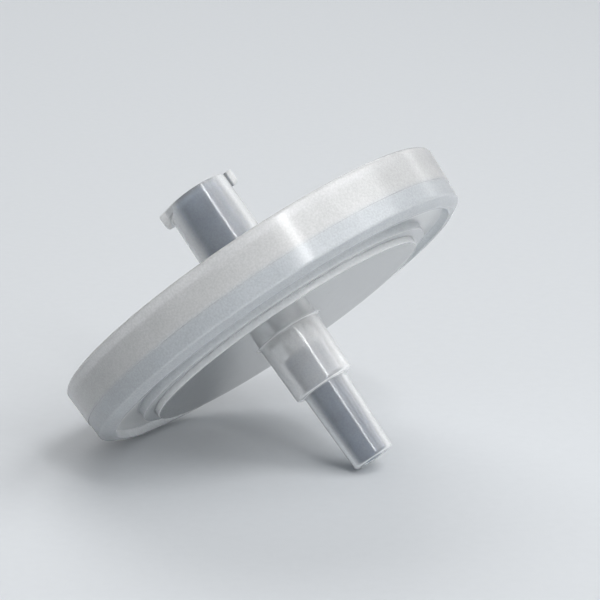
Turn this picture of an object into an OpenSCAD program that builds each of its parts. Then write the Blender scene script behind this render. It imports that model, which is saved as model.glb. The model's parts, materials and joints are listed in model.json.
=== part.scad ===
// Over-moulded syringe filter with a female luer-lock inlet and a male luer-slip outlet.
//
// Each piece is drawn on the filter's own axis: the inlet is up, and z = 0 is the plane in which the two
// halves of the housing meet. The finished filter is then laid on the bench, where it rests on the edge
// of its rim and on the end of its outlet. The origin is on the bench, under the middle of the outline.
// All sizes are in millimetres and all angles in degrees.

/* [Rim] */

// Diameter over the rim at its inlet-side edge
rim_d = 39.4; // [34:0.1:50]
// Height of the rim above the joint plane
rim_above = 3.45; // [2.8:0.05:5]
// Height of the rim below the joint plane
rim_below = 1.65; // [1.35:0.05:2.5]
// Draft of the rim's outer wall
rim_draft = 2.8; // [0:0.1:4]
// Radius of the rim's edges
rim_edge_r = 0.3; // [0.1:0.05:0.4]
// Step at the rim's parting line
parting_step = 0.06; // [0.02:0.01:0.15]
// Thickness of the rim outside the flanges that it is moulded round
rim_wall = 2.4; // [1.2:0.1:3]

/* [Outlet side of the rim] */

// Distance from the foot of the rim's wall to the lip's crest
lip_inset = 1.05; // [0.8:0.05:1.5]
// Width of the lip's crest
lip_w = 0.35; // [0.2:0.05:0.8]
// Height of the lip below the rim's edge
lip_h = 0.55; // [0.3:0.05:0.8]
// Slope of the lip's inner wall, from the axis
lip_slope = 20; // [0:1:35]
// Depth of the groove below the lip's crest
groove_depth = 0.7; // [0.4:0.05:0.9]
// Width of the groove's floor
groove_w = 2.6; // [1.5:0.1:3.5]
// Width of the collar round the outlet's platform
collar_w = 1.2; // [0.6:0.05:1.8]
// Height of the collar above the groove's floor
collar_h = 0.85; // [0.3:0.05:1.1]

/* [Inlet side of the rim] */

// Width of the rim's land
land_w = 1.5; // [1:0.1:2.2]
// Depth of the groove below the land
inlet_groove_depth = 0.85; // [0.4:0.05:1.2]

/* [Plates] */

// Thickness of the inlet half's flange
inlet_flange_t = 1.2; // [0.9:0.05:1.5]
// Thickness of the outlet half's flange
outlet_flange_t = 0.85; // [0.6:0.05:1.05]
// Height of the inlet half's platform above the groove's floor
inlet_platform_h = 0.4; // [0.1:0.05:0.8]
// Height of the outlet half's platform above the groove's floor
outlet_platform_h = 1.45; // [1.2:0.05:2.5]
// Radius of the platforms' edges
platform_edge_r = 0.15; // [0.1:0.05:0.4]

/* [Membrane and chamber] */

// Thickness of the membrane
membrane_t = 0.2; // [0.1:0.05:0.3]
// Width of the solid ring between the membrane's seat and the platform's edge
seat_wall = 1.1; // [0.6:0.1:3]
// Radial clearance round the membrane in its seat
seat_clearance = 0.1; // [0.05:0.05:0.2]
// Width of the membrane's edge that the two halves clamp
clamp_w = 0.7; // [0.4:0.1:1.5]
// Height of the inlet chamber at its edge
chamber_h = 0.5; // [0.3:0.05:0.8]
// Rise of the inlet chamber's roof towards the throat
chamber_rise = 0.35; // [0:0.05:0.6]
// Number of spreader ribs on the chamber's roof
spreader_ribs = 8; // [4:1:12]
// Width of a spreader rib
spreader_w = 0.6; // [0.4:0.05:1]
// Gap between the spreader ribs and the membrane
spreader_gap = 0.08; // [0.05:0.01:0.2]
// Distance from the throat to the inner ends of the spreader ribs
spreader_start = 1.2; // [0.5:0.1:4]
// Depth of the drain channels under the membrane
drain_depth = 0.5; // [0.3:0.05:0.7]
// Distance between the support rings under the membrane
ring_pitch = 1.5; // [1.2:0.1:2.4]
// Width of a support ring
ring_w = 0.6; // [0.4:0.05:0.9]
// Number of radial channels through the support rings
drain_channels = 8; // [4:1:12]
// Width of a radial channel
drain_w = 0.8; // [0.5:0.05:1.2]

/* [Luer inlet] */

// Taper of every luer cone, as diameter per length
luer_taper = 0.06; // [0.05:0.005:0.07]
// Height of the inlet's end above the inlet platform
inlet_h = 9.35; // [7.5:0.05:14]
// Outside diameter of the inlet at its end
inlet_d = 6.3; // [5.9:0.05:6.7]
// Outside diameter of the inlet at its foot
inlet_foot_d = 6.5; // [6.3:0.05:7.5]
// Fillet between the inlet and its platform
inlet_fillet_r = 0.6; // [0.2:0.1:1]
// Diameter of the socket at its mouth
socket_d = 4.3; // [4.27:0.005:4.35]
// Depth of the socket's cone
socket_depth = 8.5; // [7.5:0.1:9]
// Lead-in at the socket's mouth
socket_chamfer = 0.2; // [0.1:0.05:0.3]
// Diameter of the throat between the socket and the chamber
throat_d = 2.2; // [1.5:0.1:3]
// Diameter over the two lugs
lug_d = 7.83; // [7.6:0.01:7.83]
// Height of a lug at its square end
lug_h = 1.45; // [1:0.05:1.6]
// Arc of a lug that keeps the full diameter
lug_arc = 12; // [6:1:20]
// Slope of a lug's underside, which draws the cone home as the joint is turned
lug_pitch = 18; // [8:1:22]
// Radius of a lug's lower outer edge
lug_edge_r = 0.4; // [0.1:0.05:0.5]
// Direction of the first lug's square end round the axis
lug_turn = 28; // [0:1:179]

/* [Luer outlet] */

// Diameter of the boss at its shoulder
boss_d = 5.8; // [5.4:0.05:6.4]
// Diameter of the boss at its foot
boss_foot_d = 6.15; // [5.8:0.05:7]
// Length of the boss below the platform
boss_len = 5.9; // [3:0.05:8]
// Radius of the boss's shoulder
boss_edge_r = 0.3; // [0.1:0.05:0.3]
// Fillet at the foot of the boss
boss_fillet_r = 0.25; // [0.1:0.05:0.6]
// Diameter of the male cone at its end
tip_d = 3.96; // [3.925:0.005:3.99]
// Length of the male cone
tip_len = 7.95; // [7.5:0.05:10]
// Radius of the male cone's end
tip_edge_r = 0.35; // [0.1:0.05:0.45]
// Fillet between the male cone and the shoulder
tip_fillet_r = 0.12; // [0.05:0.01:0.2]
// Diameter of the bore at the outlet's end
bore_d = 2.1; // [1.6:0.1:2.4]
// Diameter of the bore at its inner end
bore_inner_d = 2.7; // [2.2:0.1:3]
// Length of the bore inside the boss, above the shoulder
bore_rise = 3.8; // [2:0.1:5]
// Diameter of the drain hole between the bore and the chamber
drain_hole_d = 1.6; // [1:0.1:2]

/* [Hidden] */

$fn = 128;
arc_step = 15;     // turn of a rounded corner's outline from point to point
weld = 0.05;       // how far ribs and rings run into the wall that carries them
small_r = 0.1;     // edges that a mould only just breaks
root_r = 0.15;     // inner corners of grooves and bores
arc_share = 0.45;  // the most of a side that one corner's arc takes up

natural = [0.90, 0.92, 0.92];
natural_rim = [0.86, 0.88, 0.88];
membrane_white = [0.97, 0.97, 0.95];

// Levels, from the bench side up
lip_z = -rim_below - lip_h;
groove_z = lip_z + groove_depth;
collar_z = groove_z - collar_h;
outlet_platform_z = groove_z - outlet_platform_h;
shoulder_z = outlet_platform_z - boss_len;
tip_z = shoulder_z - tip_len;
bore_z = shoulder_z + bore_rise;
membrane_z = -membrane_t / 2;
drain_z = membrane_z - drain_depth;
clamp_z = membrane_t / 2;
roof_z = clamp_z + chamber_h;
inlet_groove_z = rim_above - inlet_groove_depth;
inlet_platform_z = inlet_groove_z + inlet_platform_h;
inlet_end_z = inlet_platform_z + inlet_h;
socket_z = inlet_end_z - socket_depth;

// Radii, from the rim inwards
rim_r = rim_d / 2;
rim_low_r = rim_r - (rim_above + rim_below) * tan(rim_draft);
parting_r = rim_low_r + rim_below * tan(rim_draft);
flange_r = rim_r - rim_wall;
land_r = rim_r - land_w;
lip_r = rim_low_r - lip_inset;
groove_r = lip_r - lip_w - groove_depth * tan(lip_slope);
collar_r = groove_r - groove_w;
platform_r = collar_r - collar_w;
seat_r = platform_r - seat_wall;
membrane_r = seat_r - seat_clearance;
chamber_r = membrane_r - clamp_w;
tip_root_r = tip_d / 2 + tip_len * luer_taper / 2;
socket_low_r = socket_d / 2 - socket_depth * luer_taper / 2;

// ---- Rounded outlines ----
// An outline is a counter-clockwise list of corners [r, z, radius]. In the functions, b is a corner that
// stands between its neighbours a and c.

function flat(p) = [p[0], p[1]];
function side(a, b) = flat(a) - flat(b);
function unit(v) = v / norm(v);
function half_angle(a, b, c) = acos(unit(side(a, b)) * unit(side(c, b))) / 2;

// How far from its corner an arc begins, which leaves some of each side straight
function reach(a, b, c) =
    min(b[2] / tan(half_angle(a, b, c)), arc_share * norm(side(a, b)), arc_share * norm(side(c, b)));
function arc_r(a, b, c) = reach(a, b, c) * tan(half_angle(a, b, c));
function arc_centre(a, b, c) =
    flat(b) + unit(unit(side(a, b)) + unit(side(c, b))) * arc_r(a, b, c) / sin(half_angle(a, b, c));

// The points of a corner's arc, or the corner itself where it is sharp
function arc(a, b, c) =
    let (
        centre = arc_centre(a, b, c),
        first = flat(b) + unit(side(a, b)) * reach(a, b, c) - centre,
        start = atan2(first[1], first[0]),
        turns_left = cross(side(b, a), side(c, b)) > 0,
        sweep = (turns_left ? 1 : -1) * (180 - 2 * half_angle(a, b, c)),
        steps = ceil(abs(sweep) / arc_step)
    )
    [
        for (i = [0 : steps])
            let (turn = start + sweep * i / steps)
            centre + norm(first) * [cos(turn), sin(turn)]
    ];
function rounded(a, b, c) = b[2] == 0 ? [flat(b)] : arc(a, b, c);

module outline(points) {
    n = len(points);
    polygon([for (i = [0 : n - 1]) each rounded(points[(i + n - 1) % n], points[i], points[(i + 1) % n])]);
}

// ---- Over-moulded rim ----

rim_foot = [rim_low_r, -rim_below, rim_edge_r];
parting_low = [parting_r, 0, 0];
parting_high = [parting_r + parting_step, 0, 0];
rim_top = [rim_r + parting_step, rim_above, rim_edge_r];
land_edge = [land_r, rim_above, root_r];
lip_crest = [lip_r, lip_z, small_r];

module overmould_ring() {
    color(natural_rim) laid() rotate_extrude() outline([
        rim_foot,
        parting_low,
        parting_high,
        rim_top,
        land_edge,
        [land_r, inlet_groove_z, root_r],
        [platform_r, inlet_groove_z, 0],
        [platform_r, inlet_flange_t, 0],
        [flange_r, inlet_flange_t, 0],
        [flange_r, -outlet_flange_t, 0],
        [platform_r, -outlet_flange_t, 0],
        [platform_r, collar_z, 0],
        [collar_r, collar_z, small_r],
        [collar_r, groove_z, small_r],
        [groove_r, groove_z, root_r],
        [lip_r - lip_w, lip_z, small_r],
        lip_crest
    ]);
}

// ---- Inlet half ----

module inlet_body() {
    mouth_r = socket_d / 2;
    throat_r = throat_d / 2;
    rotate_extrude() outline([
        [chamber_r, roof_z, 0],
        [chamber_r, clamp_z, 0],
        [seat_r, clamp_z, 0],
        [seat_r, 0, 0],
        [flange_r, 0, 0],
        [flange_r, inlet_flange_t, 0],
        [platform_r, inlet_flange_t, 0],
        [platform_r, inlet_platform_z, platform_edge_r],
        [inlet_foot_d / 2, inlet_platform_z, inlet_fillet_r],
        [inlet_d / 2, inlet_end_z, small_r],
        [mouth_r + socket_chamfer, inlet_end_z, 0],
        [mouth_r, inlet_end_z - socket_chamfer, 0],
        [socket_low_r, socket_z, root_r],
        [throat_r, socket_z, root_r],
        [throat_r, roof_z + chamber_rise, root_r]
    ]);
}

// A rib under the chamber's sloping roof
module spreader_rib() {
    start_r = throat_d / 2 + spreader_start;
    start_z = roof_z + chamber_rise * (chamber_r - start_r) / (chamber_r - throat_d / 2);
    low_z = clamp_z + spreader_gap;
    intersection() {
        translate([start_r, -spreader_w / 2, low_z]) cube([chamber_r, spreader_w, start_z]);
        rotate_extrude() polygon([
            [start_r, low_z],
            [chamber_r + weld, low_z],
            [chamber_r + weld, roof_z + weld],
            [start_r, start_z + weld]
        ]);
    }
}

// A lug seen from the inlet's end: square at its start, it runs out in a line that touches the inlet
module lug_plan() {
    hub_r = inlet_d / 2;
    lug_r = lug_d / 2;
    run_out = lug_arc + acos(hub_r / lug_r);
    intersection() {
        circle(r = lug_r);
        polygon([[0, 0], [hub_r / cos(run_out), 0], hub_r * [cos(run_out), sin(run_out)]]);
    }
}

// A lug begins in the middle of the inlet's wall, and its underside rises from its square end
module lug() {
    mid_wall_r = (socket_d / 2 + socket_chamfer + inlet_d / 2) / 2;
    low_z = inlet_end_z - lug_h;
    difference() {
        intersection() {
            translate([0, 0, low_z]) linear_extrude(lug_h) lug_plan();
            rotate_extrude() outline([
                [mid_wall_r, low_z, 0],
                [lug_d / 2, low_z, lug_edge_r],
                [lug_d / 2, inlet_end_z, small_r],
                [mid_wall_r, inlet_end_z, 0]
            ]);
        }
        translate([0, 0, low_z]) rotate([lug_pitch, 0, 0]) translate([0, 0, -lug_d]) cube(lug_d);
    }
}

module inlet_housing() {
    color(natural) laid() {
        inlet_body();
        for (i = [0 : spreader_ribs - 1]) rotate(i * 360 / spreader_ribs) spreader_rib();
        for (turn = [0, 180]) rotate(lug_turn + turn) lug();
    }
}

// ---- Outlet half ----

bore_mouth = [bore_d / 2, tip_z, small_r];
tip_end = [tip_d / 2, tip_z, tip_edge_r];
tip_root = [tip_root_r, shoulder_z, tip_fillet_r];

module outlet_body() {
    drain_hole_r = drain_hole_d / 2;
    rotate_extrude() outline([
        bore_mouth,
        tip_end,
        tip_root,
        [boss_d / 2, shoulder_z, boss_edge_r],
        [boss_foot_d / 2, outlet_platform_z, boss_fillet_r],
        [platform_r, outlet_platform_z, platform_edge_r],
        [platform_r, -outlet_flange_t, 0],
        [flange_r, -outlet_flange_t, 0],
        [flange_r, 0, 0],
        [seat_r, 0, 0],
        [seat_r, membrane_z, 0],
        [chamber_r, membrane_z, 0],
        [chamber_r, drain_z, 0],
        [drain_hole_r, drain_z, root_r],
        [drain_hole_r, bore_z, 0],
        [bore_inner_d / 2, bore_z, root_r]
    ]);
}

// The rings that carry the membrane, crossed by the channels that lead to the drain hole
module membrane_support() {
    first_r = (drain_hole_d + ring_pitch) / 2;
    last_r = chamber_r - drain_w - ring_w;
    difference() {
        for (r = [first_r : ring_pitch : last_r]) translate([0, 0, drain_z - weld]) difference() {
            cylinder(r = r + ring_w, h = drain_depth + weld);
            translate([0, 0, -weld]) cylinder(r = r, h = drain_depth + 3 * weld);
        }
        for (i = [0 : drain_channels - 1]) rotate(i * 360 / drain_channels)
            translate([0, -drain_w / 2, drain_z]) cube([chamber_r, drain_w, drain_depth + weld]);
    }
}

module outlet_housing() {
    color(natural) laid() {
        outlet_body();
        membrane_support();
    }
}

// ---- Membrane ----

module membrane() {
    color(membrane_white) laid() translate([0, 0, membrane_z]) cylinder(r = membrane_r, h = membrane_t);
}

// ---- The filter on the bench ----
// The bench touches two rounded edges: the foot of the rim's wall and the end of the outlet. They are
// arcs about rim_arc and tip_arc. Seen from the side, the laid filter reaches from the foot of the rim in
// front to the top of the rim at the back.

rim_arc = arc_centre(lip_crest, rim_foot, parting_low);
tip_arc = arc_centre(bore_mouth, tip_end, tip_root);
top_arc = arc_centre(parting_high, rim_top, land_edge);
rim_arc_r = arc_r(lip_crest, rim_foot, parting_low);
tip_arc_r = arc_r(bore_mouth, tip_end, tip_root);
top_arc_r = arc_r(parting_high, rim_top, land_edge);

span = rim_arc - tip_arc;
lay = atan2(span[1], span[0]) - asin((rim_arc_r - tip_arc_r) / norm(span));
lift = rim_arc[0] * sin(lay) - rim_arc[1] * cos(lay) + rim_arc_r;
front_x = rim_arc[0] * cos(lay) - rim_arc[1] * sin(lay) + rim_arc_r;
back_x = -top_arc[0] * cos(lay) - top_arc[1] * sin(lay) - top_arc_r;

module laid() {
    translate([-(front_x + back_x) / 2, 0, lift]) rotate([0, -lay, 0]) children();
}

inlet_housing();
outlet_housing();
membrane();
overmould_ring();
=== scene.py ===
import json
import math

import bpy
from mathutils import Matrix, Vector


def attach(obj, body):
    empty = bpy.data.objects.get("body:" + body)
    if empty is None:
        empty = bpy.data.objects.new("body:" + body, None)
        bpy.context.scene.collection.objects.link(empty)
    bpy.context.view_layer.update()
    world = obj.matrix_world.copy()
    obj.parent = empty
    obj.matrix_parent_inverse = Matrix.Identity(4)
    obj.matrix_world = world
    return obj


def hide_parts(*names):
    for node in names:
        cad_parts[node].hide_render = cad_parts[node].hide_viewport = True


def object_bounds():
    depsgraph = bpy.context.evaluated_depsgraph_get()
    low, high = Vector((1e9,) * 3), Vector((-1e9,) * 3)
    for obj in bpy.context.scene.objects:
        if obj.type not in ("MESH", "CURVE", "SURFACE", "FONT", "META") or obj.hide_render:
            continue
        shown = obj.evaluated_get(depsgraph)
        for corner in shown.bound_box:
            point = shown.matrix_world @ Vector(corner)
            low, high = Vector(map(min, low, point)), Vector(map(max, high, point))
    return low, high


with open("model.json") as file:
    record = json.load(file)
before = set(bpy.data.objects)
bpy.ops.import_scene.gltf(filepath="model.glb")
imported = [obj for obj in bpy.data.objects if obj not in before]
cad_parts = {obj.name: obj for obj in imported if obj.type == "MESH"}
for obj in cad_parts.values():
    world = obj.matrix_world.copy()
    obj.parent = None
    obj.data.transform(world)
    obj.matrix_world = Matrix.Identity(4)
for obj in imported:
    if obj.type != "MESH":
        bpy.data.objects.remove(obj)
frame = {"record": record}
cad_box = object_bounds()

# A disc syringe filter in natural polypropylene: two moulded halves, a membrane between them and a rim
# moulded round them. Each piece is made on the filter's own axis, with the inlet up and z = 0 where the
# halves meet, and is then laid as the CAD model lies. Sizes are in millimetres until then.

MM = 0.001

# ---- Sizes ----

RIM_ABOVE, RIM_BELOW = 3.45, 1.65
RIM_D, RIM_DRAFT, RIM_WALL = 39.4, math.radians(2.8), 2.4
RIM_EDGE_R, PARTING_STEP = 0.3, 0.06
LIP_INSET, LIP_W, LIP_H, LIP_SLOPE = 1.05, 0.35, 0.55, math.radians(20)
GROOVE_DEPTH, GROOVE_W = 0.7, 2.6
COLLAR_W, COLLAR_H = 1.2, 0.85
LAND_W, INLET_GROOVE_DEPTH = 1.5, 0.85
INLET_FLANGE_T, OUTLET_FLANGE_T = 1.2, 0.85
INLET_PLATFORM_H, OUTLET_PLATFORM_H, PLATFORM_EDGE_R = 0.4, 1.45, 0.15
MEMBRANE_T, SEAT_WALL, SEAT_CLEARANCE, CLAMP_W = 0.2, 1.1, 0.1, 0.7
CHAMBER_H, CHAMBER_RISE = 0.5, 0.35
SPREADERS, SPREADER_W, SPREADER_GAP, SPREADER_START = 8, 0.6, 0.08, 1.2
DRAIN_DEPTH, RING_PITCH, RING_W, CHANNELS, DRAIN_W = 0.5, 1.5, 0.6, 8, 0.8
TAPER = 0.06
INLET_H, INLET_D, INLET_FOOT_D, INLET_FILLET_R = 9.35, 6.3, 6.5, 0.6
SOCKET_D, SOCKET_DEPTH, SOCKET_CHAMFER, THROAT_D = 4.3, 8.5, 0.2, 2.2
LUG_D, LUG_H, LUG_EDGE_R = 7.83, 1.45, 0.4
LUG_ARC, LUG_PITCH, LUG_TURN = math.radians(12), math.radians(18), math.radians(28)
BOSS_D, BOSS_FOOT_D, BOSS_LEN, BOSS_EDGE_R, BOSS_FILLET_R = 5.8, 6.15, 5.9, 0.3, 0.25
TIP_D, TIP_LEN, TIP_EDGE_R, TIP_FILLET_R = 3.96, 7.95, 0.35, 0.12
BORE_D, BORE_INNER_D, BORE_RISE, DRAIN_HOLE_D = 2.1, 2.7, 3.8, 1.6
SMALL_R, ROOT_R = 0.1, 0.15
FUSED_GAP = 0.01       # drawn between pieces that are fused, so that no two faces lie in one place
OVERRUN = 0.05         # how far a rib or a channel runs past the wall or the face where it ends
CHANNEL_FLOOR = 0.005  # from the floor between the support rings up to a channel's own floor
CHANNEL_END = 0.1      # from a channel's end to the chamber's wall
FIT = 0.9996           # keeps the finer rounding just inside the CAD model's outline

lip_z = -RIM_BELOW - LIP_H
groove_z = lip_z + GROOVE_DEPTH
collar_z = groove_z - COLLAR_H
outlet_platform_z = groove_z - OUTLET_PLATFORM_H
shoulder_z = outlet_platform_z - BOSS_LEN
tip_z = shoulder_z - TIP_LEN
bore_z = shoulder_z + BORE_RISE
membrane_z = -MEMBRANE_T / 2
drain_z = membrane_z - DRAIN_DEPTH
clamp_z = MEMBRANE_T / 2
roof_z = clamp_z + CHAMBER_H
inlet_groove_z = RIM_ABOVE - INLET_GROOVE_DEPTH
inlet_platform_z = inlet_groove_z + INLET_PLATFORM_H
inlet_end_z = inlet_platform_z + INLET_H
socket_z = inlet_end_z - SOCKET_DEPTH

rim_r = RIM_D / 2
rim_low_r = rim_r - (RIM_ABOVE + RIM_BELOW) * math.tan(RIM_DRAFT)
parting_r = rim_low_r + RIM_BELOW * math.tan(RIM_DRAFT)
flange_r = rim_r - RIM_WALL
land_r = rim_r - LAND_W
lip_r = rim_low_r - LIP_INSET
groove_r = lip_r - LIP_W - GROOVE_DEPTH * math.tan(LIP_SLOPE)
collar_r = groove_r - GROOVE_W
platform_r = collar_r - COLLAR_W
seat_r = platform_r - SEAT_WALL
membrane_r = seat_r - SEAT_CLEARANCE
chamber_r = membrane_r - CLAMP_W
tip_root_r = TIP_D / 2 + TIP_LEN * TAPER / 2
socket_low_r = SOCKET_D / 2 - SOCKET_DEPTH * TAPER / 2

# The filter's axis, from the mount at the inlet's end
inlet_mount = next(m for m in frame["record"]["mounts"] if m["name"] == "luer_inlet")
axis_z = Vector(inlet_mount["axis"]).normalized()
axis_y = Vector((0, 1, 0))
axis_x = axis_y.cross(axis_z)
joint_centre = Vector(inlet_mount["pos_m"]) - axis_z * inlet_end_z * MM
TURN = Matrix((axis_x, axis_y, axis_z)).transposed()
LAY = Matrix.Translation(joint_centre) @ TURN.to_4x4() @ Matrix.Scale(MM * FIT, 4)


# ---- Outlines ----
# An outline is a counter-clockwise list of corners (r, z, radius). FUSED after them marks the side that
# begins there as melted to another piece, and BORE marks it as the wall of a bore.

FUSED, BORE = 1, 2
ARC_STEP = math.radians(7.5)
ARC_SHARE = 0.45       # the most of a side that an arc at one of its ends may take


def rounded(corners):
    """The points of an outline, with each corner's arc, and for each point the mark of the side after it."""
    points, marks = [], []
    for i, corner in enumerate(corners):
        here = Vector(corner[:2])
        back = Vector(corners[i - 1][:2]) - here
        on = Vector(corners[(i + 1) % len(corners)][:2]) - here
        if corner[2] == 0:
            points.append(here)
        else:
            half = back.angle(on) / 2
            reach = min(corner[2] / math.tan(half), ARC_SHARE * back.length, ARC_SHARE * on.length)
            radius = reach * math.tan(half)
            centre = here + (back.normalized() + on.normalized()).normalized() * radius / math.sin(half)
            first = here + back.normalized() * reach - centre
            left = back.x * on.y - back.y * on.x < 0
            sweep = (math.pi - 2 * half) * (1 if left else -1)
            steps = math.ceil(abs(sweep) / ARC_STEP)
            for k in range(steps + 1):
                turn = sweep * k / steps
                points.append(centre + Vector((
                    first.x * math.cos(turn) - first.y * math.sin(turn),
                    first.x * math.sin(turn) + first.y * math.cos(turn),
                )))
        marks += [0] * (len(points) - len(marks) - 1) + [corner[3] if len(corner) > 3 else 0]
    return points, marks


def outline_mesh(name, corners):
    """A closed chain of edges in the plane y = 0, with the outline's points in order."""
    points, marks = rounded(corners)
    mesh = bpy.data.meshes.new(name)
    edges = [(i, (i + 1) % len(points)) for i in range(len(points))]
    mesh.from_pydata([(p.x, 0, p.y) for p in points], edges, [])
    mark = mesh.attributes.new("mark", "INT", "EDGE")
    mark.data.foreach_set("value", marks)
    return mesh


rim_corners = [
    (rim_low_r, -RIM_BELOW, RIM_EDGE_R),
    (parting_r, 0, 0),
    (parting_r + PARTING_STEP, 0, 0),
    (rim_r + PARTING_STEP, RIM_ABOVE, RIM_EDGE_R),
    (land_r, RIM_ABOVE, ROOT_R),
    (land_r, inlet_groove_z, ROOT_R),
    (platform_r + FUSED_GAP, inlet_groove_z, 0, FUSED),
    (platform_r + FUSED_GAP, INLET_FLANGE_T + FUSED_GAP, 0, FUSED),
    (flange_r + FUSED_GAP, INLET_FLANGE_T + FUSED_GAP, 0, FUSED),
    (flange_r + FUSED_GAP, -OUTLET_FLANGE_T - FUSED_GAP, 0, FUSED),
    (platform_r + FUSED_GAP, -OUTLET_FLANGE_T - FUSED_GAP, 0, FUSED),
    (platform_r + FUSED_GAP, collar_z, 0),
    (collar_r, collar_z, SMALL_R),
    (collar_r, groove_z, SMALL_R),
    (groove_r, groove_z, ROOT_R),
    (lip_r - LIP_W, lip_z, SMALL_R),
    (lip_r, lip_z, SMALL_R),
]

inlet_corners = [
    (chamber_r, roof_z, 0),
    (chamber_r, clamp_z, 0),
    (seat_r, clamp_z, 0),
    (seat_r, FUSED_GAP / 2, 0, FUSED),
    (flange_r, FUSED_GAP / 2, 0, FUSED),
    (flange_r, INLET_FLANGE_T, 0, FUSED),
    (platform_r, INLET_FLANGE_T, 0, FUSED),
    (platform_r, inlet_groove_z, 0),
    (platform_r, inlet_platform_z, PLATFORM_EDGE_R),
    (INLET_FOOT_D / 2, inlet_platform_z, INLET_FILLET_R),
    (INLET_D / 2, inlet_end_z, SMALL_R),
    (SOCKET_D / 2 + SOCKET_CHAMFER, inlet_end_z, 0),
    (SOCKET_D / 2, inlet_end_z - SOCKET_CHAMFER, 0, BORE),
    (socket_low_r, socket_z, ROOT_R, BORE),
    (THROAT_D / 2, socket_z, ROOT_R),
    (THROAT_D / 2, roof_z + CHAMBER_RISE, ROOT_R),
]

# The support rings under the membrane are part of the outlet half's outline, from the chamber's wall inwards
first_ring_r = (DRAIN_HOLE_D + RING_PITCH) / 2
last_ring_r = chamber_r - DRAIN_W - RING_W
rings = [first_ring_r + i * RING_PITCH for i in range(int((last_ring_r - first_ring_r) / RING_PITCH) + 1)]
ring_corners = [
    corner
    for r in reversed(rings)
    for corner in (
        (r + RING_W, drain_z, 0),
        (r + RING_W, membrane_z, 0),
        (r, membrane_z, 0),
        (r, drain_z, 0),
    )
]

outlet_corners = [
    (BORE_D / 2, tip_z, SMALL_R),
    (TIP_D / 2, tip_z, TIP_EDGE_R),
    (tip_root_r, shoulder_z, TIP_FILLET_R),
    (BOSS_D / 2, shoulder_z, BOSS_EDGE_R),
    (BOSS_FOOT_D / 2, outlet_platform_z, BOSS_FILLET_R),
    (platform_r, outlet_platform_z, PLATFORM_EDGE_R),
    (platform_r, collar_z, 0, FUSED),
    (platform_r, -OUTLET_FLANGE_T, 0, FUSED),
    (flange_r, -OUTLET_FLANGE_T, 0, FUSED),
    (flange_r, -FUSED_GAP / 2, 0, FUSED),
    (seat_r, -FUSED_GAP / 2, 0),
    (seat_r, membrane_z, 0),
    (chamber_r, membrane_z, 0),
    (chamber_r, drain_z, 0),
    *ring_corners,
    (DRAIN_HOLE_D / 2, drain_z, ROOT_R),
    (DRAIN_HOLE_D / 2, bore_z, 0, BORE),
    (BORE_INNER_D / 2, bore_z, ROOT_R, BORE),
]

membrane_corners = [
    (0, membrane_z + FUSED_GAP, 0),
    (membrane_r, membrane_z + FUSED_GAP, 0),
    (membrane_r, clamp_z - FUSED_GAP, 0),
    (0, clamp_z - FUSED_GAP, 0),
]


# ---- Node helper ----


def add(tree, kind, inputs=None, **settings):
    """Adds a node with its settings, and sets or links its inputs by name or place."""
    made = tree.nodes.new(kind)
    for name, value in settings.items():
        setattr(made, name, value)
    for name, value in (inputs or {}).items():
        if isinstance(value, bpy.types.NodeSocket):
            tree.links.new(value, made.inputs[name])
        else:
            made.inputs[name].default_value = value
    return made


# ---- Geometry Nodes ----

STEPS_ROUND = 240           # faces round the axis
SHARP = math.radians(30)    # an edge that turns less than this is shaded smooth
MERGE = 0.001               # points closer than this become one
BODY_INPUTS = {
    "Steps round": "NodeSocketInt",
    "Material": "NodeSocketMaterial",
    "Fused material": "NodeSocketMaterial",
    "Bore material": "NodeSocketMaterial",
}


def new_tree(name, inputs):
    """A Geometry Nodes group with a geometry in and out and the named inputs, and its input node."""
    tree = bpy.data.node_groups.new(name, "GeometryNodeTree")
    tree.interface.new_socket("Geometry", in_out="INPUT", socket_type="NodeSocketGeometry")
    for label, kind in inputs.items():
        tree.interface.new_socket(label, in_out="INPUT", socket_type=kind)
    tree.interface.new_socket("Geometry", in_out="OUTPUT", socket_type="NodeSocketGeometry")
    return tree, tree.nodes.new("NodeGroupInput")


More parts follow.
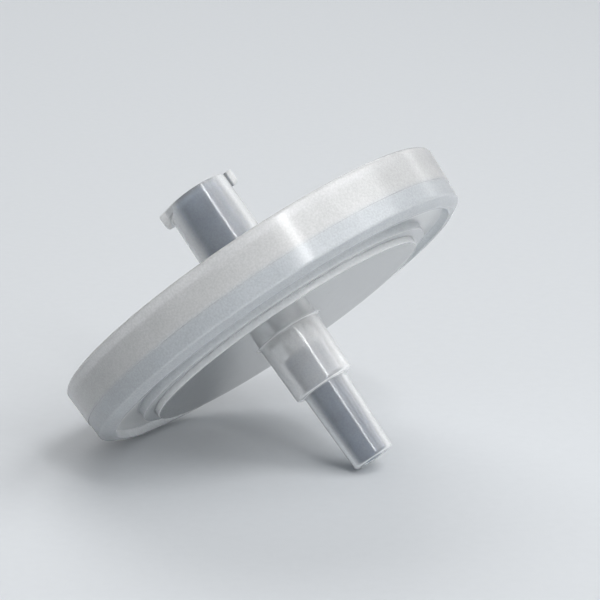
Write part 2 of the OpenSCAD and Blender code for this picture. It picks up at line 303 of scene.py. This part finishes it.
def turn_outline(tree, outline, steps):
    """Turns an outline's points about Z into a closed skin."""
    size = add(tree, "GeometryNodeAttributeDomainSize", {"Geometry": outline}, component="MESH")
    count = size.outputs["Point Count"]
    across = add(tree, "ShaderNodeMath", {0: count, 1: 1.0}, operation="ADD")
    around = add(tree, "ShaderNodeMath", {0: steps, 1: 1.0}, operation="ADD")
    grid = add(tree, "GeometryNodeMeshGrid", {"Vertices X": across.outputs[0], "Vertices Y": around.outputs[0]})
    index = add(tree, "GeometryNodeInputIndex").outputs[0]
    along = add(tree, "ShaderNodeMath", {0: index, 1: around.outputs[0]}, operation="DIVIDE")
    row = add(tree, "ShaderNodeMath", {0: along.outputs[0]}, operation="FLOOR")
    place = add(tree, "ShaderNodeMath", {0: row.outputs[0], 1: count}, operation="MODULO")
    column = add(tree, "ShaderNodeMath", {0: index, 1: around.outputs[0]}, operation="MODULO")
    share = add(tree, "ShaderNodeMath", {0: column.outputs[0], 1: steps}, operation="DIVIDE")
    angle = add(tree, "ShaderNodeMath", {0: share.outputs[0], 1: -math.tau}, operation="MULTIPLY")
    position = add(tree, "GeometryNodeInputPosition").outputs[0]
    point = add(
        tree, "GeometryNodeSampleIndex",
        {"Geometry": outline, "Value": position, "Index": place.outputs[0]},
        data_type="FLOAT_VECTOR", domain="POINT",
    )
    turned = add(
        tree, "ShaderNodeVectorRotate",
        {"Vector": point.outputs["Value"], "Angle": angle.outputs[0]},
        rotation_type="Z_AXIS",
    )
    skin = add(tree, "GeometryNodeSetPosition", {"Geometry": grid.outputs["Mesh"], "Position": turned.outputs[0]})
    strip = add(tree, "ShaderNodeMath", {0: index, 1: steps}, operation="DIVIDE")
    side = add(tree, "ShaderNodeMath", {0: strip.outputs[0]}, operation="FLOOR")
    mark = add(tree, "GeometryNodeInputNamedAttribute", {"Name": "mark"}, data_type="INT")
    carried = add(
        tree, "GeometryNodeSampleIndex",
        {"Geometry": outline, "Value": mark.outputs["Attribute"], "Index": side.outputs[0]},
        data_type="INT", domain="EDGE",
    )
    marked = add(
        tree, "GeometryNodeStoreNamedAttribute",
        {"Geometry": skin.outputs[0], "Name": "mark", "Value": carried.outputs["Value"]},
        data_type="INT", domain="FACE",
    )
    closed = add(tree, "GeometryNodeMergeByDistance", {"Geometry": marked.outputs[0], "Distance": MERGE})
    faces = add(tree, "GeometryNodeInputMeshEdgeNeighbors").outputs["Face Count"]
    bare = add(tree, "FunctionNodeCompare", {2: faces, 3: 0}, data_type="INT", operation="EQUAL")
    clean = add(
        tree, "GeometryNodeDeleteGeometry", {"Geometry": closed.outputs[0], "Selection": bare.outputs[0]},
        domain="EDGE", mode="ALL",
    )
    return clean.outputs[0]


def finish_tree(tree, geometry, given):
    """Shades by angle, realizes instances and sets the materials."""
    angle = add(tree, "GeometryNodeInputMeshEdgeAngle").outputs["Unsigned Angle"]
    gentle = add(tree, "FunctionNodeCompare", {0: angle, 1: SHARP}, data_type="FLOAT", operation="LESS_THAN")
    faces = add(tree, "GeometryNodeSetShadeSmooth", {"Geometry": geometry}, domain="FACE")
    edges = add(
        tree, "GeometryNodeSetShadeSmooth",
        {"Geometry": faces.outputs[0], "Shade Smooth": gentle.outputs[0]}, domain="EDGE",
    )
    real = add(tree, "GeometryNodeRealizeInstances", {"Geometry": edges.outputs[0]})
    skin = add(
        tree, "GeometryNodeSetMaterial", {"Geometry": real.outputs[0], "Material": given.outputs["Material"]}
    )
    mark = add(tree, "GeometryNodeInputNamedAttribute", {"Name": "mark"}, data_type="INT")
    for name, value in (("Fused material", FUSED), ("Bore material", BORE)):
        chosen = add(
            tree, "FunctionNodeCompare", {2: mark.outputs["Attribute"], 3: value}, data_type="INT", operation="EQUAL"
        )
        skin = add(
            tree, "GeometryNodeSetMaterial",
            {"Geometry": skin.outputs[0], "Selection": chosen.outputs[0], "Material": given.outputs[name]},
        )
    add(tree, "NodeGroupOutput", {"Geometry": skin.outputs[0]})


def turned_body_tree():
    """A skin turned about the axis from the object's own outline."""
    tree, given = new_tree("Turned body", dict(BODY_INPUTS))
    skin = turn_outline(tree, given.outputs["Geometry"], given.outputs["Steps round"])
    finish_tree(tree, skin, given)
    return tree


def repeated(tree, feature, count, first_turn):
    """Copies of a feature set evenly round the axis."""
    points = add(tree, "GeometryNodePoints", {"Count": count})
    index = add(tree, "GeometryNodeInputIndex").outputs[0]
    share = add(tree, "ShaderNodeMath", {0: index, 1: count}, operation="DIVIDE")
    turn = add(tree, "ShaderNodeMath", {0: share.outputs[0], 1: math.tau, 2: first_turn}, operation="MULTIPLY_ADD")
    rotation = add(tree, "ShaderNodeCombineXYZ", {"Z": turn.outputs[0]})
    source = add(tree, "GeometryNodeObjectInfo", {"Object": feature}, transform_space="ORIGINAL")
    copies = add(
        tree, "GeometryNodeInstanceOnPoints",
        {"Points": points.outputs[0], "Instance": source.outputs["Geometry"], "Rotation": rotation.outputs[0]},
    )
    return add(tree, "GeometryNodeRealizeInstances", {"Geometry": copies.outputs[0]}).outputs[0]


def featured_body_tree(name, operation, features):
    """A turned body to which each named feature is added, or from which it is cut, at even turns."""
    inputs = dict(BODY_INPUTS)
    for feature in features:
        inputs[feature] = "NodeSocketObject"
        inputs[feature + " count"] = "NodeSocketInt"
        inputs[feature + " first turn"] = "NodeSocketFloat"
    tree, given = new_tree(name, inputs)
    body = turn_outline(tree, given.outputs["Geometry"], given.outputs["Steps round"])
    for feature in features:
        copies = repeated(
            tree, given.outputs[feature], given.outputs[feature + " count"], given.outputs[feature + " first turn"]
        )
        joined = add(tree, "GeometryNodeMeshBoolean", operation=operation, solver="MANIFOLD")
        tree.links.new(body, joined.inputs["Mesh 1" if operation == "DIFFERENCE" else "Mesh 2"])
        tree.links.new(copies, joined.inputs["Mesh 2"])
        body = add(
            tree, "GeometryNodeMergeByDistance", {"Geometry": joined.outputs["Mesh"], "Distance": MERGE}
        ).outputs[0]
    body = add(tree, "GeometryNodeTriangulate", {"Mesh": body}, ngon_method="BEAUTY").outputs[0]
    finish_tree(tree, body, given)
    return tree


def grow(name, mesh, tree, values):
    """Runs a tree on a mesh and returns its result as a plain piece, laid where the CAD model lies, with only the
    materials that it uses.
    """
    mesh.materials.append(values["Material"])
    seed = bpy.data.objects.new(name + "_seed", mesh)
    bpy.context.scene.collection.objects.link(seed)
    modifier = seed.modifiers.new("Grow", "NODES")
    modifier.node_group = tree
    for socket in tree.interface.items_tree:
        if socket.in_out == "INPUT" and socket.name in values:
            modifier[socket.identifier] = values[socket.name]
    weighted = seed.modifiers.new("Weighted normals", "WEIGHTED_NORMAL")
    weighted.keep_sharp = True
    evaluated = seed.evaluated_get(bpy.context.evaluated_depsgraph_get())
    grown = bpy.data.meshes.new_from_object(evaluated)
    seed.modifiers.clear()
    bpy.data.objects.remove(seed)
    grown.name = name
    grown.transform(LAY)
    used = sorted({face.material_index for face in grown.polygons})
    kept = [grown.materials[i] for i in used]
    places = [used.index(face.material_index) for face in grown.polygons]
    grown.materials.clear()
    for material in kept:
        grown.materials.append(material)
    grown.polygons.foreach_set("material_index", places)
    piece = bpy.data.objects.new(name, grown)
    bpy.context.scene.collection.objects.link(piece)
    return piece


# ---- Features ----


def feature_object(name, points, faces):
    """A small closed mesh that a tree repeats. It isn't in the scene."""
    mesh = bpy.data.meshes.new(name)
    mesh.from_pydata(points, [], faces)
    return bpy.data.objects.new(name, mesh)


def prism(sections):
    """Points and faces of a closed solid through equal sections, each a ring of points."""
    n = len(sections[0])
    points = [p for section in sections for p in section]
    faces = [tuple(reversed(range(n))), tuple(range(len(points) - n, len(points)))]
    for k in range(len(sections) - 1):
        for i in range(n):
            a, b = k * n + i, k * n + (i + 1) % n
            faces.append((a, b, b + n, a + n))
    return points, faces


LUG_STEPS = 40


def lug():
    """A lug of the luer lock: square at its start, it runs out in a line that touches the inlet's wall."""
    hub_r, lug_r = INLET_D / 2, LUG_D / 2
    root = (SOCKET_D / 2 + SOCKET_CHAMFER + hub_r) / 2
    run_out = LUG_ARC + math.acos(hub_r / lug_r)
    top = inlet_end_z - FUSED_GAP / 2
    sections = []
    for k in range(LUG_STEPS + 1):
        angle = run_out * k / LUG_STEPS
        outer = lug_r if angle < LUG_ARC else hub_r / math.cos(run_out - angle)
        low = inlet_end_z - LUG_H + outer * math.sin(angle) * math.tan(LUG_PITCH)
        section, _ = rounded([
            (root, low, 0),
            (outer, low, LUG_EDGE_R),
            (outer, top, SMALL_R),
            (root, top, 0),
        ])
        sections.append([(p.x * math.cos(angle), p.x * math.sin(angle), p.y) for p in reversed(section)])
    return feature_object("lug", *prism(sections))


def box_mesh(name, low, high):
    """A plain box between two corners, for a rib or a channel."""
    sections = [
        [(x, low[1], low[2]), (x, high[1], low[2]), (x, high[1], high[2]), (x, low[1], high[2])]
        for x in (low[0], high[0])
    ]
    return feature_object(name, *prism(sections))


def spreader_rib():
    """A rib on the chamber's roof. It runs a little way into the roof and the wall."""
    start = THROAT_D / 2 + SPREADER_START
    low = clamp_z + SPREADER_GAP
    high = roof_z + CHAMBER_RISE + OVERRUN
    return box_mesh("spreader", (start, -SPREADER_W / 2, low), (chamber_r + OVERRUN, SPREADER_W / 2, high))


def drain_channel():
    """The space of a channel through the support rings, from the drain hole nearly to the chamber's wall."""
    low, high = drain_z + CHANNEL_FLOOR, membrane_z + OVERRUN
    return box_mesh("channel", (0, -DRAIN_W / 2, low), (chamber_r - CHANNEL_END, DRAIN_W / 2, high))


# ---- Materials ----
# Polypropylene and the membrane are drawn on coordinates in millimetres, so the scale of each of their noises is
# in waves a millimetre. The paper's is in waves a metre.

POLYPROPYLENE_IOR = 1.49
NO_BEND_IOR = 1.0               # of a face inside the plastic, which light crosses without bending
MOULD_POLISH = 0.13             # roughness of the skin that a polished mould leaves
PEEL_HEIGHT = 0.01              # height of the skin's faint waves
FACE_ON, EDGE_ON = 0.15, 0.5    # where a wall starts to look thicker as it turns away, and where it looks thickest


def linear(hex_colour):
    """An sRGB hex colour as linear RGBA."""
    channels = [int(hex_colour[i:i + 2], 16) / 255 for i in (1, 3, 5)]
    return [c / 12.92 if c <= 0.04045 else ((c + 0.055) / 1.055) ** 2.4 for c in channels] + [1.0]


def new_material(name):
    material = bpy.data.materials.new(name)
    material.use_nodes = True
    material.node_tree.nodes.clear()
    return material, material.node_tree


def on_axis(tree):
    """Object coordinates in millimetres on the filter's own axis."""
    place = add(tree, "ShaderNodeTexCoord").outputs["Object"]
    euler = TURN.to_euler()
    return add(
        tree, "ShaderNodeMapping",
        {"Vector": place, "Location": joint_centre, "Rotation": euler, "Scale": (MM, MM, MM)},
        vector_type="TEXTURE",
    ).outputs[0]


def zone(colour, clearness, edge_clearness, haze, inner=None, outer=None, low=None, high=None):
    """How a moulding looks between two radii and two heights, where a missing one is no limit. The clearness is
    how much light passes where the wall faces the eye, and where it is seen edge on.
    """
    return colour, clearness, edge_clearness, haze, inner, outer, low, high


def grained(tree, place, colour, darkest, lightest):
    """A colour with the fine grain of the crystals in natural polypropylene, which are what makes it milky. It is
    drawn about 0.15 mm wide, a little coarser than it is, so that it shows.
    """
    grain = add(tree, "ShaderNodeTexNoise", {"Vector": place, "Scale": 6.0, "Detail": 1.0, "Roughness": 0.6})
    speck = add(
        tree, "ShaderNodeMapRange",
        {
            "Value": grain.outputs["Fac"], "From Min": 0.3, "From Max": 0.7,
            "To Min": darkest, "To Max": lightest,
        },
    )
    return add(
        tree, "ShaderNodeMix", {0: 1.0, 6: colour, 7: speck.outputs[0]}, data_type="RGBA", blend_type="MULTIPLY"
    ).outputs[2]


def moulded_polypropylene(name, gloss, depth, blur, zones):
    """Natural polypropylene from a polished mould: glossy, milky where it is thick, clear where it is thin. Light
    wanders the given depth through it.

    The first zone is the whole piece. Later zones lie over earlier ones and pass into them over twice the blur.
    Edge on, light takes a longer way through the wall, so a tube is milky there. The milkiness drifts over about
    3 mm, and the skin waves over about 0.8 mm, as a moulding's does where the plastic shrank.
    """
    material, tree = new_material(name)
    place = on_axis(tree)
    cloud = add(tree, "ShaderNodeTexNoise", {"Vector": place, "Scale": 0.35, "Detail": 3.0}).outputs["Fac"]
    peel = add(tree, "ShaderNodeTexNoise", {"Vector": place, "Scale": 1.2, "Detail": 1.0}).outputs["Fac"]
    across = add(tree, "ShaderNodeVectorMath", {0: place, 1: (1, 1, 0)}, operation="MULTIPLY")
    radius = add(tree, "ShaderNodeVectorMath", {0: across.outputs[0]}, operation="LENGTH").outputs["Value"]
    level = add(tree, "ShaderNodeSeparateXYZ", {0: place}).outputs["Z"]
    facing = add(tree, "ShaderNodeLayerWeight", {"Blend": 0.5}).outputs["Facing"]
    edge_on = add(
        tree, "ShaderNodeMapRange", {"Value": facing, "From Min": FACE_ON, "From Max": EDGE_ON},
        interpolation_type="SMOOTHSTEP",
    ).outputs[0]
    whole, *others = zones
    colour, clearness, at_edge, haze = linear(whole[0]), *whole[1:4]
    for shade, clear, clear_at_edge, blurred, inner, outer, bottom, top in others:
        share = 1.0
        for value, edge, sign in ((radius, inner, 1), (radius, outer, -1), (level, bottom, 1), (level, top, -1)):
            if edge is None:
                continue
            within = add(
                tree, "ShaderNodeMapRange",
                {
                    "Value": value, "From Min": edge - blur, "From Max": edge + blur,
                    "To Min": 0.0 if sign > 0 else 1.0, "To Max": 1.0 if sign > 0 else 0.0,
                },
                interpolation_type="SMOOTHSTEP",
            )
            share = add(tree, "ShaderNodeMath", {0: within.outputs[0], 1: share}, operation="MULTIPLY").outputs[0]
        colour = add(tree, "ShaderNodeMix", {0: share, 6: colour, 7: linear(shade)}, data_type="RGBA").outputs[2]
        clearness = add(tree, "ShaderNodeMix", {0: share, 2: clearness, 3: clear}).outputs[0]
        at_edge = add(tree, "ShaderNodeMix", {0: share, 2: at_edge, 3: clear_at_edge}).outputs[0]
        haze = add(tree, "ShaderNodeMix", {0: share, 2: haze, 3: blurred}).outputs[0]
    clearness = add(tree, "ShaderNodeMix", {0: edge_on, 2: clearness, 3: at_edge}).outputs[0]
    milk = add(tree, "ShaderNodeMapRange", {"Value": cloud, "To Min": -0.05, "To Max": 0.05})
    clearness = add(tree, "ShaderNodeMath", {0: clearness, 1: milk.outputs[0]}, operation="ADD").outputs[0]
    wipe = add(tree, "ShaderNodeMapRange", {"Value": cloud, "To Min": -0.04, "To Max": 0.04})
    haze = add(tree, "ShaderNodeMath", {0: haze, 1: wipe.outputs[0]}, operation="ADD").outputs[0]
    colour = grained(tree, place, colour, 0.92, 1.07)
    bump = add(tree, "ShaderNodeBump", {"Height": peel, "Strength": 0.25, "Distance": PEEL_HEIGHT * MM})
    shader = add(
        tree, "ShaderNodeBsdfPrincipled",
        {
            "Base Color": colour,
            "Roughness": haze,
            "IOR": POLYPROPYLENE_IOR,
            "Transmission Weight": clearness,
            "Subsurface Weight": 1.0,
            "Subsurface Radius": (1.0, 1.0, 1.0),
            "Subsurface Scale": depth * MM,
            "Coat Weight": gloss,
            "Coat Roughness": MOULD_POLISH,
            "Coat IOR": POLYPROPYLENE_IOR,
            "Normal": bump.outputs[0],
        },
    )
    add(tree, "ShaderNodeOutputMaterial", {"Surface": shader.outputs[0]})
    return material


def fused_polypropylene():
    """Where two mouldings have melted together there is no air between them, so light goes straight on and
    only the milk of the older moulding's skin shows.
    """
    material, tree = new_material("fused_polypropylene")
    place = on_axis(tree)
    cloud = add(tree, "ShaderNodeTexNoise", {"Vector": place, "Scale": 0.8, "Detail": 3.0}).outputs["Fac"]
    clear = add(tree, "ShaderNodeMapRange", {"Value": cloud, "To Min": 0.7, "To Max": 0.8})
    shader = add(
        tree, "ShaderNodeBsdfPrincipled",
        {
            "Base Color": linear("#F5F5F3"),
            "Roughness": 0.1,
            "IOR": NO_BEND_IOR,
            "Transmission Weight": clear.outputs[0],
        },
    )
    add(tree, "ShaderNodeOutputMaterial", {"Surface": shader.outputs[0]})
    return material


def painted_bore_shade():
    """The wall of a bore, seen through the plastic: a dim, bluish core in the milky tube. Its dark colour is painted
    shade, which darkens what is seen through the bore.
    """
    material, tree = new_material("bore_painted_shade")
    place = on_axis(tree)
    cloud = add(tree, "ShaderNodeTexNoise", {"Vector": place, "Scale": 0.6, "Detail": 3.0}).outputs["Fac"]
    colour = add(
        tree, "ShaderNodeMix", {0: cloud, 6: linear("#6E7D90"), 7: linear("#7C8CA0")}, data_type="RGBA"
    ).outputs[2]
    shader = add(
        tree, "ShaderNodeBsdfPrincipled",
        {
            "Base Color": grained(tree, place, colour, 0.82, 1.16),
            "Roughness": 0.3,
            "IOR": NO_BEND_IOR,
            "Transmission Weight": 0.35,
        },
    )
    add(tree, "ShaderNodeOutputMaterial", {"Surface": shader.outputs[0]})
    return material


def microporous_membrane():
    """Cast polymer film full of pores, which make it dead white and matt. They are far too fine to see, and are
    drawn about 0.12 mm wide.
    """
    material, tree = new_material("microporous_membrane")
    place = on_axis(tree)
    grain = add(tree, "ShaderNodeTexNoise", {"Vector": place, "Scale": 8.0, "Detail": 4.0}).outputs["Fac"]
    colour = add(
        tree, "ShaderNodeMix", {0: grain, 6: linear("#F4F4F0"), 7: linear("#E9E9E5")}, data_type="RGBA"
    )
    shader = add(tree, "ShaderNodeBsdfPrincipled", {"Base Color": colour.outputs[2], "Roughness": 0.9, "IOR": 1.4})
    add(tree, "ShaderNodeOutputMaterial", {"Surface": shader.outputs[0]})
    return material


def floor_paper():
    """Smooth studio paper, with a faint grain about 1 mm wide."""
    material, tree = new_material("studio_paper")
    place = add(tree, "ShaderNodeTexCoord").outputs["Object"]
    grain = add(tree, "ShaderNodeTexNoise", {"Vector": place, "Scale": 900.0, "Detail": 2.0}).outputs["Fac"]
    colour = add(
        tree, "ShaderNodeMix", {0: grain, 6: linear("#CFD2D5"), 7: linear("#D3D6D9")}, data_type="RGBA"
    )
    shader = add(tree, "ShaderNodeBsdfPrincipled", {"Base Color": colour.outputs[2], "Roughness": 0.6})
    add(tree, "ShaderNodeOutputMaterial", {"Surface": shader.outputs[0]})
    return material


# The small number beside a size sets a zone's blurred edge a little to one side of the corner there.

# The plate, the tube above its fillet, and the lugs outside the tube's wall
inlet_plastic = moulded_polypropylene(
    "natural_polypropylene_inlet", gloss=0.6, depth=3.0, blur=0.12,
    zones=[
        zone("#F3F3F1", 0.3, 0.3, 0.2),
        zone("#F3F8FC", 0.82, 0.15, 0.2, low=inlet_platform_z + 0.3),
        zone("#FBFBF9", 0.1, 0.1, 0.25, inner=INLET_D / 2 + 0.25, low=inlet_platform_z + 2),
    ],
)
# The plate, the platform's flat face over the hollow chamber, the boss with its fillet, and the cone. The face's
# dark grey is painted shade, with a painted dark reflection.
outlet_plastic = moulded_polypropylene(
    "natural_polypropylene_outlet", gloss=0.6, depth=3.0, blur=0.12,
    zones=[
        zone("#EDF0F2", 0.3, 0.3, 0.2),
        # Painted shade: the flat face is coloured dark grey where it lies in shade and reflects dark surroundings
        zone("#787E82", 0.4, 0.4, 0.14, outer=platform_r - PLATFORM_EDGE_R, high=outlet_platform_z + 0.12),
        zone("#FBFDFE", 0.64, 0.12, 0.2, outer=BOSS_FOOT_D / 2 + 0.3, high=outlet_platform_z + 0.02),
        zone("#F3F8FC", 0.84, 0.25, 0.2, outer=BOSS_FOOT_D / 2 + 0.2, high=shoulder_z - 0.1),
    ],
)
# The rim below its parting line, the rim above it, and the floor of the groove on the outlet's side, which is drawn
# whiter and less clear as painted light for the glow of light scattered in the plastic there
rim_plastic = moulded_polypropylene(
    "milky_polypropylene", gloss=0.15, depth=1.2, blur=0.3,
    zones=[
        zone("#DBDFE3", 0.42, 0.48, 0.22),
        zone("#E5E5E5", 0.4, 0.46, 0.22, low=0.05),
        # Painted light: the groove's floor is whitened to look lit by light scattered through the rim
        zone("#F6F8F9", 0.2, 0.2, 0.22, inner=collar_r + 0.1, outer=groove_r + 0.1, high=groove_z + 0.1),
    ],
)

# ---- Pieces ----

turned = turned_body_tree()
inlet_tree = featured_body_tree("Inlet half", "UNION", ["Lug", "Spreader"])
outlet_tree = featured_body_tree("Outlet half", "DIFFERENCE", ["Channel"])

common = {"Steps round": STEPS_ROUND, "Fused material": fused_polypropylene(), "Bore material": painted_bore_shade()}

rim = grow("rim_visual", outline_mesh("rim", rim_corners), turned, common | {"Material": rim_plastic})
film = grow(
    "membrane_visual", outline_mesh("film", membrane_corners), turned, common | {"Material": microporous_membrane()}
)
inlet = grow(
    "inlet_visual", outline_mesh("inlet", inlet_corners), inlet_tree,
    common | {
        "Material": inlet_plastic,
        "Lug": lug(), "Lug count": 2, "Lug first turn": LUG_TURN,
        "Spreader": spreader_rib(), "Spreader count": SPREADERS, "Spreader first turn": 0.0,
    },
)
outlet = grow(
    "outlet_visual", outline_mesh("outlet", outlet_corners), outlet_tree,
    common | {
        "Material": outlet_plastic,
        "Channel": drain_channel(), "Channel count": CHANNELS, "Channel first turn": 0.0,
    },
)
for piece, node in (
    (rim, "overmould_ring"), (film, "membrane"), (inlet, "inlet_housing"), (outlet, "outlet_housing")
):
    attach(piece, "root")
    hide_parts(node)

# ---- Studio ----

FLOOR_SIZE, FLOOR_GAP = 3, 0.0001    # metres; the gap keeps the paper clear of the rim's foot

low, high = cad_box
centre = (low + high) / 2

bpy.ops.mesh.primitive_plane_add(size=FLOOR_SIZE, location=(0, 0, -FLOOR_GAP))
floor = bpy.context.object
floor.name = "floor"
floor.data.materials.append(floor_paper())


def softbox(name, azimuth, elevation, distance, width, height, watts):
    """An area lamp that looks at the filter. Its angles are in degrees and its sizes in metres."""
    lamp = bpy.data.lights.new(name, "AREA")
    lamp.shape = "RECTANGLE"
    lamp.size, lamp.size_y = width, height
    lamp.energy = watts
    box = bpy.data.objects.new(name, lamp)
    bpy.context.scene.collection.objects.link(box)
    a, e = math.radians(azimuth), math.radians(elevation)
    away = Vector((math.sin(a) * math.cos(e), -math.cos(a) * math.cos(e), math.sin(e)))
    box.location = centre + away * distance
    box.rotation_euler = away.to_track_quat("Z", "Y").to_euler()


# The key lights the rim's wall and the outlet's side. The strips draw the bright lines along the tubes and the boss.
# The last two lamps light the inlet's side and its edges. After each name: azimuth, elevation, distance, width,
# height, watts.
softbox("key", 112, 46, 0.5, 0.3, 0.3, 0.75)
softbox("broad_strip", 74, 45, 0.5, 0.14, 0.35, 0.35)
softbox("strip", 55, 44, 0.5, 0.025, 0.35, 0.75)
softbox("front", 84, 6, 0.6, 0.4, 0.25, 0.65)
softbox("overhead", 85, 68, 0.6, 0.4, 0.4, 0.2)
softbox("back_fill", 222, 44, 0.6, 0.4, 0.4, 1.2)
softbox("back_strip", 167.5, 24, 0.5, 0.01, 0.3, 0.06)

BACKDROP = 0.6                      # how light the empty studio looks, directly and in or through the plastic
DARK_SIDE, KEY_SIDE = 0.03, 0.8     # how strongly its two sides light matt surfaces
TOWARD_KEY = (0.82, -0.25, 0.5)

world = bpy.data.worlds.new("studio")
bpy.context.scene.world = world
world.use_nodes = True
world.node_tree.nodes.clear()
sky = world.node_tree
way = add(sky, "ShaderNodeTexCoord").outputs["Generated"]
toward_key = add(sky, "ShaderNodeVectorMath", {0: way, 1: TOWARD_KEY}, operation="DOT_PRODUCT")
glow = add(
    sky, "ShaderNodeMapRange",
    {"Value": toward_key.outputs["Value"], "From Min": 0.0, "To Min": DARK_SIDE, "To Max": KEY_SIDE},
)
ray = add(sky, "ShaderNodeLightPath").outputs
direct = add(sky, "ShaderNodeMath", {0: ray["Is Camera Ray"], 1: ray["Is Glossy Ray"]}, operation="ADD")
seen = add(
    sky, "ShaderNodeMath", {0: direct.outputs[0], 1: ray["Is Transmission Ray"]}, operation="ADD", use_clamp=True
)
strength = add(sky, "ShaderNodeMix", {0: seen.outputs[0], 2: glow.outputs[0], 3: BACKDROP})
studio = add(sky, "ShaderNodeBackground", {"Color": linear("#F4F7FA"), "Strength": strength.outputs[0]})
add(sky, "ShaderNodeOutputWorld", {"Surface": studio.outputs[0]})

# ---- Camera ----

CAMERA_AZIMUTH, CAMERA_ELEVATION = math.radians(31.35), math.radians(14.45)
CAMERA_DISTANCE, CAMERA_FOV = 0.253, math.radians(12.23)
AIM_RIGHT, AIM_UP = 1.762, 1.78    # from the middle of the rim's foot to where the camera looks

camera = bpy.data.cameras.new("camera")
camera.sensor_width = 36
camera.lens = camera.sensor_width / 2 / math.tan(CAMERA_FOV / 2)
view = bpy.data.objects.new("camera", camera)
bpy.context.scene.collection.objects.link(view)
away = Vector((
    math.sin(CAMERA_AZIMUTH) * math.cos(CAMERA_ELEVATION),
    -math.cos(CAMERA_AZIMUTH) * math.cos(CAMERA_ELEVATION),
    math.sin(CAMERA_ELEVATION),
))
right = Vector((math.cos(CAMERA_AZIMUTH), math.sin(CAMERA_AZIMUTH), 0))
up = away.cross(right)
rim_foot_centre = joint_centre - axis_z * RIM_BELOW * MM
target = rim_foot_centre + right * AIM_RIGHT * MM + up * AIM_UP * MM
view.location = target + away * CAMERA_DISTANCE
view.rotation_euler = away.to_track_quat("Z", "Y").to_euler()
camera.clip_start, camera.clip_end = 0.01, 20
bpy.context.scene.camera = view

bpy.context.scene.view_settings.view_transform = "Standard"
